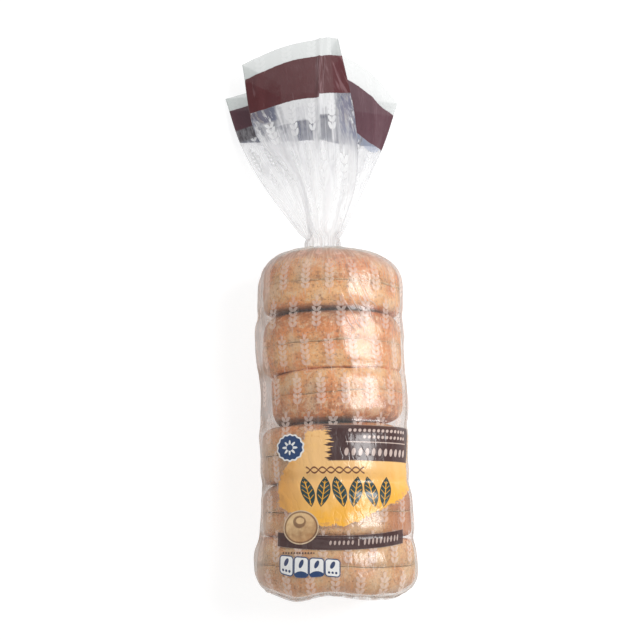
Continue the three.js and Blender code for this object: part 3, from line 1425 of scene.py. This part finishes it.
@dataclass(frozen=True)
class Print:
    """The printed film: clear, with wheat ears, a band at the mouth and a front label."""

    film: Layers
    ear: Ink = (246, 228, 218)
    maroon: Ink = (87, 26, 30)
    slate: Ink = (100, 106, 134)
    yellow: Ink = (255, 184, 44)
    peach: Ink = (248, 198, 132)
    brush: Ink = (62, 30, 30)
    blue: Ink = (8, 58, 108)
    teal: Ink = (10, 54, 58)
    white: Ink = (240, 240, 238)
    cream: Ink = (226, 203, 192)
    brown: Ink = (112, 60, 32)
    # Pale rubbed film: real wear on the band, and along its pleat partly a painted highlight.
    rubbed: Ink = (176, 144, 148)

    def make(self) -> bpy.types.Material:
        """Builds the film's material.

        Returns:
            The material.
        """
        f = self.film
        self.haze()
        self.frost()
        slant = self.creases()
        f.tint(f.strip, (212, 217, 215))
        f.cover += (0.62 - f.g.step(f.u, 44, 60) * 0.3 - f.cover) * f.strip
        self.wheat()
        label = self.patches, self.grains, self.badge, self.disc, self.leaves, self.boxes
        for draw in (self.band,) if f.part is Part.FAN else label:
            draw()
        return self.surface(self.relief(slant))

    def haze(self) -> None:
        """The faint milkiness of the film, stronger where it is slack or gathered."""
        f = self.film
        g, v = f.g, f.v
        f.colour = g.mix(f.fan, (232, 229, 226), (251, 251, 252))
        f.cover = 0.03 + g.step(f.cloud, 0.4, 0.75) * 0.05
        f.cover += f.side * (0.4 + g.step(v, -92, -84) * 0.16)
        f.cover += g.step(f.streaks(0.42, 0.012), 0.5, 0.66) * f.body * 0.11
        f.cover += g.step(v, 8, 34) * f.body * 0.28 + g.step(v, 33, 42) * 0.12
        notches: Value = 0.0
        for seam in BagForm().seams:
            notches = g.step(abs(v - seam), 7.0, 2.0).most(notches)
        f.tint(f.side, (224, 221, 220))
        f.tint(g.step(v, -94, -86) * g.step(v, -52, -60) * f.side, (200, 190, 184))
        f.tint(notches * f.side, (200, 182, 166), 0.2)

    def frost(self) -> None:
        """The fan's milkiness, in panels between its creases."""
        f = self.film
        g, bent = f.g, f.bent
        frost = g.step(f.streaks(0.1, 0.014, 3), 0.36, 0.62) * 0.28 + g.step(f.v, 100, 50) * 0.12
        window = g.noise(g.place(f.u * 0.07 + 1.5, f.v * 0.06), 1.0, 3, 0.6)
        frost += g.step(window, 0.62, 0.46) * g.step(f.away, 96, 64) * 0.24
        panels = g.cells(g.place(f.u * 0.1 + bent, f.v * 0.035 + bent)) - 0.5
        frost += panels * 0.2 + (f.facets - 0.5) * f.crushed * 0.25
        frost += f.veil * 0.5 + f.misty * 0.3
        frost *= 1.0 - g.step(abs(f.u - 4.0), 45, 56) * 0.4
        frost = (frost + 0.1) * (1.0 - f.pane * 0.35) - 0.1
        f.cover = (f.cover + f.fan * frost).least(0.88)

    def creases(self) -> Num:
        """Light and dark creases all over the film: white lines that are partly stress-whitened
        film and partly painted glints, and grey lines that are painted shade in the fan's folds and
        crumples.

        Returns:
            The slanted tension lines, painted white as highlight streaks, which also stand up from
            the film.
        """
        f = self.film
        g, u, v, fan = f.g, f.u, f.v, f.fan
        long = f.thread(f.streaks(0.075, 0.012, rough=0.4, shift=3.0), 0.022, 0.004)
        # Lines where the film gathers at the shoulder, whitened below as painted glints.
        gather = f.thread(f.streaks(0.22, 0.02), 0.05) * g.step(v, 4, 30) * f.body
        fine = f.streaks(0.5, 0.07, 3, 0.6, lean=(0.0, 0.03), shift=f.bent)
        # Slanted lines on the upper bagels, where the key light's glare falls: painted highlight
        # streaks.
        across = u + v * 0.65 + (g.noise(f.flat, 0.06) - 0.5) * 9.0
        slant = g.step((across * 0.95).cos(), 0.45, 0.98)
        slant *= g.step(f.oval(19.0, -8.0, 17.0, 22.0), 1.0, 0.55)
        # White crease lines: partly stress-whitened film, partly painted glints.
        white = (long * (0.25 + fan * 0.25 - f.gathered * 0.2)).most(slant * 0.85)
        white = white.most(gather * 0.6).most(g.step(fine, 0.56, 0.68) * f.crushed * 0.8)
        # Grey lines along the fan's folds: painted shade.
        drawn = f.streaks(0.06, 0.014, shift=f.bent * 0.4 + 7.0)
        drawn = f.thread(drawn, 0.03, 0.004) * fan * (1.0 - f.veil)
        # Painted shade in the crumpled film's hollows near the mouth; its painted highlights are in
        # the white lines above.
        f.tint(g.step(fine, 0.45, 0.33) * f.crushed * 0.45, (168, 170, 182))
        f.tint(drawn * 0.4, (196, 197, 202))
        f.tint(f.between(v, 30, 44, 56, 78), (242, 255, 255))
        f.tint(white, (252, 252, 252))
        f.cover += drawn * 0.1 + white * (0.2 + fan * 0.35) + slant * 0.22
        # Milkier on the right of the upper bagels: a painted sheen where the key light's glare
        # falls.
        f.cover += g.step(u, 26, 46) * g.step(v, -96, -84) * f.body * 0.1
        return slant

    def wheat(self) -> None:
        """The wheat ears, staggered in rows all over the film and faint on the milky strip."""
        f = self.film
        g, fan = f.g, f.fan
        across, along, pitch, slope = 17.1, 27.1, 3.7, math.radians(33)
        long_half, wide_half, first_row, on_fan = 2.45, 1.22, 12.8, 5.7
        from_row = f.v - fan * on_fan - (first_row - along / 2)
        y = from_row.repeat(along) - along / 2
        stagger = (from_row / along).floor().repeat(2) * (across / 2)
        side = abs((f.u + 1.0 + across / 2 - stagger).repeat(across) - across / 2)
        dx, dy = side - 1.66, (y + 9.2).repeat(pitch) - 1.9
        long = (dx * math.sin(slope) + dy * math.cos(slope)) / long_half
        wide = (dx * math.cos(slope) - dy * math.sin(slope)) / wide_half
        grain = f.grain(long, wide) * f.between(y, -9.4, -9.0, 9.0, 9.3)
        tip = f.grain(side / 1.05, (y - 10.4) / 2.3)
        awn = g.step(abs(side - (y - 8.0) * 0.3), 0.4, 0.2) * g.step(y, 8.0, 9.0)
        stem = g.step(side, 0.42, 0.25) * g.step(y, -8.6, -9.4)
        ears = grain.most(tip).most(awn * 0.7).most(stem * 0.8) * (1.0 - f.strip * 0.75)
        ears *= 1.0 - f.gathered * 0.5
        f.tint(ears * f.body, self.ear)
        f.tint(ears * fan * 0.6, (253, 253, 253))
        printed = 0.43 + g.step(f.cloud, 0.3, 0.7) * 0.14 + g.step(f.away, 96, 72) * fan * 0.55
        f.cover = f.cover.most(ears * printed)
        f.solid = (0.45 - fan * 0.2 + ears * 0.3).most(f.veil * 0.6)

    def band(self) -> None:
        """The dark band near the mouth, slate where it is seen from inside, lighter along its pleat
        and slanted creases with painted highlights, and what it rubbed.
        """
        f = self.film
        g, u, v, away, under = f.g, f.u, f.v, f.away, f.under
        inside = g.step(u, 129, 130).most(g.step(u, -121, -122))
        inside = inside.most(f.between(u, -98, -96, -60, -58)).most(f.between(u, 46, 47, 64, 66))
        worn = f.streaks(0.6, 0.05, 3, 0.6)
        slant = g.noise(g.place((u + v * 0.45) * 0.22, (v - u * 0.45) * 0.03), 1.0)
        folds = g.noise(g.place(u * 0.3, v * 0.12), 1.0, 3, 0.6)
        shade = g.paint(
            g.mix(g.noise(f.flat, 0.08, 3), self.maroon, (98, 54, 58)),
            # Lighter along the pleat: partly stress-whitened film, partly a painted highlight.
            (g.step(abs(u - 15.5), 6.0, 1.0) * g.step(worn, 0.42, 0.62) * 0.4, self.rubbed),
            # Lighter slanted creases on the right panel: painted highlights.
            (g.step(slant, 0.5, 0.66) * f.between(u, 17, 22, 46, 50) * 0.35, (170, 134, 138)),
            (g.step(worn, 0.6, 0.72) * 0.2, self.rubbed),
            (g.step(abs(u), 60, 64) * 0.4, (112, 88, 102)),
            (
                g.step(u, -74, -76) * g.step(away, 29, 31),
                g.mix(g.step(folds, 0.36, 0.62), (96, 90, 96), (158, 156, 160)),
            ),
            (inside, self.slate),
        )
        band = g.step(away - f.band_start, -0.3, 0.3) * g.step(under, 0.3, -0.3)
        f.ink(band, shade, 0.97, 0.92)
        below = g.step(under, -0.3, 0.3)
        rubbed = f.streaks(0.42, 0.09, 3, 0.6, lean=(0.12, 0.05))
        left = g.step(under, 13, 10) * f.between(u, -41, -38, -22, -19)
        right = g.step(under, 32, 24) * f.between(u, 26, 32, 47, 51)
        back = g.step(under - g.step(u, 128, 95) * 6.0, 0.8, -0.8) * f.between(u, 66, 70, 128, 130)
        for where, texture, colour, opacity in (
            (left, g.step(rubbed, 0.38, 0.5), (140, 144, 162), 0.6),
            (right, g.step(rubbed, 0.32, 0.58), (130, 132, 152), 0.7),
            (back, g.step(folds, 0.3, 0.5), (164, 172, 192), 0.7),
        ):
            f.ink(below * where * texture, colour, opacity, 0.92)

    def patches(self) -> None:
        """The label's yellow field, the brushed dark patch and the dark strip."""
        f = self.film
        g, u, v, flat = f.g, f.u, f.v, f.flat
        edge = f.past_line(-22.2, -101.8, -0.827, 0.562)
        # The field's other sides, each by a point on it and its outward direction.
        for side in (
            (-43, 0, -1, 0),
            (-42, -149, -0.471, -0.882),
            (0, -161.5, 0, -1),
            (8, -161, 0.409, -0.912),
            (66, 0, 1, 0),
            (0, -97, 0, 1),
        ):
            edge = edge.most(f.past_line(*side))
        toast = g.step(edge, -9.0, -1.0) * g.step(g.noise(flat, 0.22, 4, 0.6), 0.5, 0.6)
        ink = g.paint(
            self.peach,
            (g.step(v - u * 0.3, -118, -162), self.yellow),
            (g.step(g.noise(flat, 0.11, 3), 0.45, 0.62) * 0.35, (250, 200, 124)),
            (g.step(u, -14, -42) * 0.7, (224, 152, 50)),
            (toast * 0.5, (212, 148, 70)),
        )
        torn = (g.noise(flat, 0.16, 4, 0.65) - 0.5) * 10.0
        torn += (g.noise(flat, 0.55, 3, 0.6) - 0.5) * 5.0
        f.ink(g.step(edge + torn, 1.2, -0.8), ink, 0.93)
        bristles = g.noise(g.place(u * 0.03, v * 0.8), 1.0, 3) - 0.5
        patch = (u * -1.0 - 4.0 + bristles * 26.0).most(u - 65.0)
        patch = patch.most(abs(v + 105.0) - 12.4 + bristles * 1.5)
        f.ink(g.step(patch, 0.5, -0.5), self.brush, 0.93)
        strip = (abs(self.up_strip) - 4.75).most(abs(u - 4.0) - 46.5)
        f.ink(g.step(strip, 0.3, -0.3), self.brush, 0.93)

    @property
    def up_strip(self) -> Num:
        """The distance up from the dark strip's curved middle line."""
        return self.film.v + 172.9 - ((self.film.u + 3.0) ** 2.0) * 0.0016

    def grains(self) -> None:
        """Rows of plain grains on the dark fields, a rule, a bar and a row of specks."""
        f = self.film
        g, u, v = f.g, f.u, f.v
        on_strip = self.up_strip
        # Each row: the way up from its line, its first and last place across, and its grains'
        # pitch, half-width, half-height and strength.
        for up, first, last, pitch, wide, high, share in (
            (v + 96.4, 9.0, 58.0, 3.5, 1.15, 1.15, 0.8),
            (v + 100.9, 19.5, 58.0, 3.5, 1.15, 1.15, 0.8),
            (v + 111.3, 6.0, 59.5, 4.9, 1.45, 2.7, 0.8),
            (on_strip, -6.0, 12.0, 3.0, 0.8, 1.5, 0.62),
            (on_strip, 17.5, 46.0, 2.85, 0.75, 2.1, 0.62),
        ):
            across = ((u - first).repeat(pitch) - pitch / 2 - up * 0.12) / wide
            keep = f.between(u, first, first + 0.3, last - 0.3, last)
            f.ink(f.grain(across, up / high) * keep * share, self.cream)
        rule = (abs(v + 104.5) - 0.3).most(abs(u - 33.5) - 25.5)
        bar = (abs(u - 14.6) - 0.3).most(abs(on_strip) - 2.2)
        f.ink(g.step(rule.least(bar), 0.2, -0.2), self.cream, 0.8)
        speck = ((u + 0.4).repeat(2.0) - 1.0) ** 2.0 + ((v + 179.6) / 1.1) ** 2.0
        keep = g.step(abs(u + 27.0), 12.0, 11.6)
        f.ink(g.step(speck, 0.55, 0.3) * keep, self.brush, 0.8)

    def badge(self) -> None:
        """A scalloped blue badge with a plain eight-pointed star."""
        f = self.film
        g, x, y, scallops, points = f.g, -31.6, -108.2, 14.0, 8.0
        turn = g.math("ARCTAN2", f.v - y, f.u - x)
        out = f.oval(x, y, 10.4, 9.2)
        scallop = out + (turn * scallops).cos() * 0.035
        star = out - 0.40 - (turn * points).cos() * 0.16
        f.ink(g.step(scallop, 1.06, 1.0), self.white)
        f.ink(g.step(scallop, 0.93, 0.89), self.blue, 0.97)
        f.ink(g.step(star, 0.03, -0.03), self.white)
        f.ink(g.step(f.oval(x, y, 2.4, 2.2), 1.05, 0.95), self.blue, 0.97)

    def disc(self) -> None:
        """A plain drawn bagel in a pale ring."""
        f = self.film
        g = f.g
        disc = f.oval(-25.5, -162.5, 12.0, 10.7)
        lit = f.past_line(-25.5, -161.5, -0.45, 0.9) * 0.035
        lit += (g.noise(f.flat, 0.3, 4) - 0.5) * 0.9
        hole = g.step(f.oval(-26.4, -158.9, 4.3, 3.9), 1.2, 0.95)
        crust = g.paint(
            (182, 136, 90),
            (g.step(lit, -0.5, 0.5), (240, 204, 152)),
            (g.step(disc, 0.86, 0.97) * 0.9, (112, 72, 42)),
            (hole * 0.8, (116, 76, 44)),
        )
        f.ink(g.step(disc, 1.09, 1.05), (232, 206, 172), 0.8)
        f.ink(g.step(disc, 1.03, 0.98), crust)
        f.ink(g.step(f.oval(-25.9, -158.1, 3.3, 2.4), 1.0, 0.8), (226, 188, 138))

    def leaves(self) -> None:
        """Six ribbed leaves that lean to and fro, under a plain braid."""
        f = self.film
        g, u, middle, pitch = f.g, f.u, 7.4, 11.0
        from_left, up = u - middle + 3 * pitch, f.v + 138.4
        lean = (from_left / pitch).floor().repeat(2.0) * 2.0 - 1.0
        aside = abs(from_left.repeat(pitch) - pitch / 2 - up * lean * 0.22)
        leaf = aside / 4.7 + (up / 10.4) ** 2.0
        keep = g.step(abs(u - middle), 3 * pitch + 0.2, 3 * pitch - 0.2)
        f.ink(g.step(leaf, 1.04, 0.96) * keep, self.teal)
        ribs = abs((up - aside * 0.9).repeat(3.6) - 1.8)
        vein = g.step(aside, 0.5, 0.25) * g.step(abs(up + 1.0), 8.8, 7.8)
        vein = vein.most(g.step(ribs, 0.45, 0.2) * g.step(leaf, 0.86, 0.74) * 0.8)
        f.ink(vein * keep, self.yellow, 0.8)
        wave, up = g.math("SINE", u * 0.55) * 1.9, f.v + 123.8
        braid = (abs(up - wave).least(abs(up + wave)) - 0.5).most(abs(u) - 20.0)
        f.ink(g.step(braid, 0.35, -0.2), self.brown, 0.9)

    def boxes(self) -> None:
        """Four small white boxes in a sloping row, each with a plain grain."""
        f = self.film
        g, first, pitch, slope = f.g, -35.0, 10.7, 0.073
        half_wide, half_high, corner = 5.3, 6.3, 2.6
        tilted = f.v + (f.u - first) * slope
        for index in range(4):
            x = f.u - first - pitch * index
            dx, dy = abs(x) - (half_wide - corner), abs(tilted + 187.3) - (half_high - corner)
            edge = (dx.most(0.0) ** 2.0 + dy.most(0.0) ** 2.0).root()
            edge += dx.most(dy).least(0.0) - corner
            f.ink(g.step(edge, 0.2, -0.2), self.blue)
            f.ink(g.step(edge, -0.6, -0.9), self.white)
            up = tilted + 185.4
            f.ink(f.grain((x - up * 0.35) / 1.5, up / 2.6), self.blue, 0.8)
            if index in (0, 3):
                dots = ((x + 1.2).repeat(2.4) - 1.2) ** 2.0 + (tilted + 190.6) ** 2.0
                f.ink(g.step(dots, 0.9, 0.5) * g.step(abs(x), 3.7, 3.4), self.blue, 0.8)
            else:
                arc = (x / 6.4) ** 2.0 + ((tilted + 195.2) / 5.4) ** 2.0
                f.ink(g.step(edge, -0.2, -0.5) * g.step(arc, 1.06, 0.98), self.blue)

    def relief(self, slant: Num) -> Num:
        """The small relief of the film.

        Args:
            slant: The slanted tension lines.

        Returns:
            The film's normal.
        """
        f, g = self.film, self.film.g
        fold = abs(f.streaks(0.11, 0.05, lean=(0.03, 0.02)) - 0.5)
        fold = g.step(fold, 0.0, 0.05) * 0.14
        pulled = g.step(abs(f.u - 20.0), 20, 13) * f.between(f.v, -98, -88, 4, 14)
        calm = 1.0 - f.gathered * 0.5
        ripple = f.streaks(0.14, 0.05, 3) * (1.0 - pulled * 0.65) * calm
        crack = f.facets * f.fan * 0.3 * calm + fold * (1.0 - pulled * 0.6)
        return g.bump(ripple + crack + slant * 0.5, 0.4, 0.0018)

    def surface(self, normal: Num) -> bpy.types.Material:
        """Joins the clear film, what lies on it, and its shine.

        Args:
            normal: The film's normal.

        Returns:
            The film's material.
        """
        f, g = self.film, self.film.g
        facing = g.node("LayerWeight", {"Blend": 0.5}, "Facing")
        edge = g.mix(f.fan, (222, 216, 210), (240, 240, 242))
        clear = g.mix(g.step(facing, 0.5, 1.0), (0.99, 0.99, 0.99, 1), edge)
        through = g.node("BsdfTransparent", (clear,))
        milky = g.node("BsdfTranslucent", (f.colour,))
        ink = g.principled(
            Base_Color=f.colour, Roughness=0.5, Specular_IOR_Level=0.0, Normal=normal
        )
        film = g.blend(f.cover, through, g.blend(f.solid, milky, ink))
        for roughness, share in ((0.42, 0.05), (0.17, 0.034)):
            shine = g.node("BsdfGlossy", {"Roughness": roughness, "Normal": normal})
            film = g.blend(share - f.fan * 0.018 + facing**4.0 * 0.07, film, shine)
        return g.finish(film)


# ---- The studio ----------------------------------------------------------------------------


@dataclass(frozen=True)
class Lamp:
    """A soft box light: where it is and points to, its size in metres and its power in watts."""

    name: str
    place: tuple[float, float, float]
    aim: tuple[float, float, float]
    size: tuple[float, float]
    power: float

    def make(self) -> None:
        """Adds the light to the scene."""
        data = bpy.data.lights.new(self.name, "AREA")
        data.shape = "RECTANGLE"
        data.size, data.size_y = self.size
        data.energy = self.power
        lamp = bpy.data.objects.new(self.name, data)
        lamp.location = self.place
        way = Vector(self.aim) - Vector(self.place)
        lamp.rotation_euler = way.to_track_quat("-Z", "Y").to_euler()
        bpy.context.scene.collection.objects.link(lamp)


@dataclass(frozen=True)
class Studio:
    """The camera, the pale floor and the soft lights, in metres."""

    target: tuple[float, float, float] = (0.0039, -0.012, 0.050)
    distance: float = 0.9
    elevation: float = 80.0
    lens: float = 68.9
    sensor: float = 36.0
    floor_size: float = 3.0
    floor_z: float = -0.0004
    floor_glow: float = 0.78
    world: float = 0.42
    lamps: tuple[Lamp, ...] = (
        Lamp("key", (0.68, 0.12, 0.94), (0.02, -0.02, 0.05), (0.40, 0.62), 8.2),
        Lamp("side", (0.68, -0.50, 0.94), (0.02, -0.15, 0.05), (0.40, 0.60), 0.6),
        Lamp("fill", (-0.95, -0.10, 0.75), (0.0, -0.05, 0.05), (0.9, 1.3), 0.7),
        Lamp("back", (0.0, 1.1, 0.7), (0.0, 0.05, 0.05), (1.2, 0.6), 1.5),
    )

    def camera(self) -> None:
        """Adds the camera, looking down on the bag's front from beyond its closed end."""
        data = bpy.data.cameras.new("camera")
        data.lens, data.sensor_width = self.lens, self.sensor
        camera = bpy.data.objects.new("camera", data)
        lift = math.radians(self.elevation)
        back = Vector((0, -math.cos(lift), math.sin(lift)))
        camera.location = Vector(self.target) + back * self.distance
        camera.rotation_euler = (math.radians(90 - self.elevation), 0, 0)
        bpy.context.scene.collection.objects.link(camera)
        bpy.context.scene.camera = camera

    def floor(self) -> None:
        """Adds the pale surface that the bag lies on."""
        made = bmesh.new()
        bmesh.ops.create_grid(made, x_segments=2, y_segments=2, size=self.floor_size)
        bmesh.ops.translate(made, verts=made.verts[:], vec=(0, 0, self.floor_z))
        mesh = bpy.data.meshes.new("floor")
        made.to_mesh(mesh)
        made.free()
        floor = bpy.data.objects.new("floor", mesh)
        g = Graph("floor")
        glow = {"Emission_Color": (1, 1, 1, 1), "Emission_Strength": self.floor_glow}
        surface = g.principled(Base_Color=(164, 164, 164), Roughness=0.9, **glow)
        mesh.materials.append(g.finish(surface))
        bpy.context.scene.collection.objects.link(floor)

    def lights(self) -> None:
        """Adds the soft boxes and the even light all round."""
        for lamp in self.lamps:
            lamp.make()
        world = bpy.data.worlds.new("studio")
        world.use_nodes = True
        background = world.node_tree.nodes["Background"]
        background.inputs["Color"].default_value = (1, 1, 1, 1)
        background.inputs["Strength"].default_value = self.world
        scene = bpy.context.scene
        scene.world = world
        scene.view_settings.view_transform = "Standard"
        scene.cycles.transparent_max_bounces = 32


# ---- Everything together -------------------------------------------------------------------


def main() -> None:
    """Builds the studio, the bagels and the film in turn."""
    logging.basicConfig(level=logging.INFO, format="%(message)s")
    studio = Studio()
    studio.camera()
    studio.floor()
    studio.lights()
    film = Film()
    crust, crumb = Crust().make(), Crumb().make()
    for bagel in BAGELS:
        for half in Half:
            piece = bagel.mesh(half, film.form)
            piece.data.materials.append(crust)
            piece.data.materials.append(crumb)
    sheet = film.mesh("film")
    for part in Part:
        sheet.data.materials.append(Print(Layers(film.mouth, part)).make())
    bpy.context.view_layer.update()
    LOG.info("mouth at %.1f mm along the film", film.mouth)


if __name__ == "__main__":
    main()
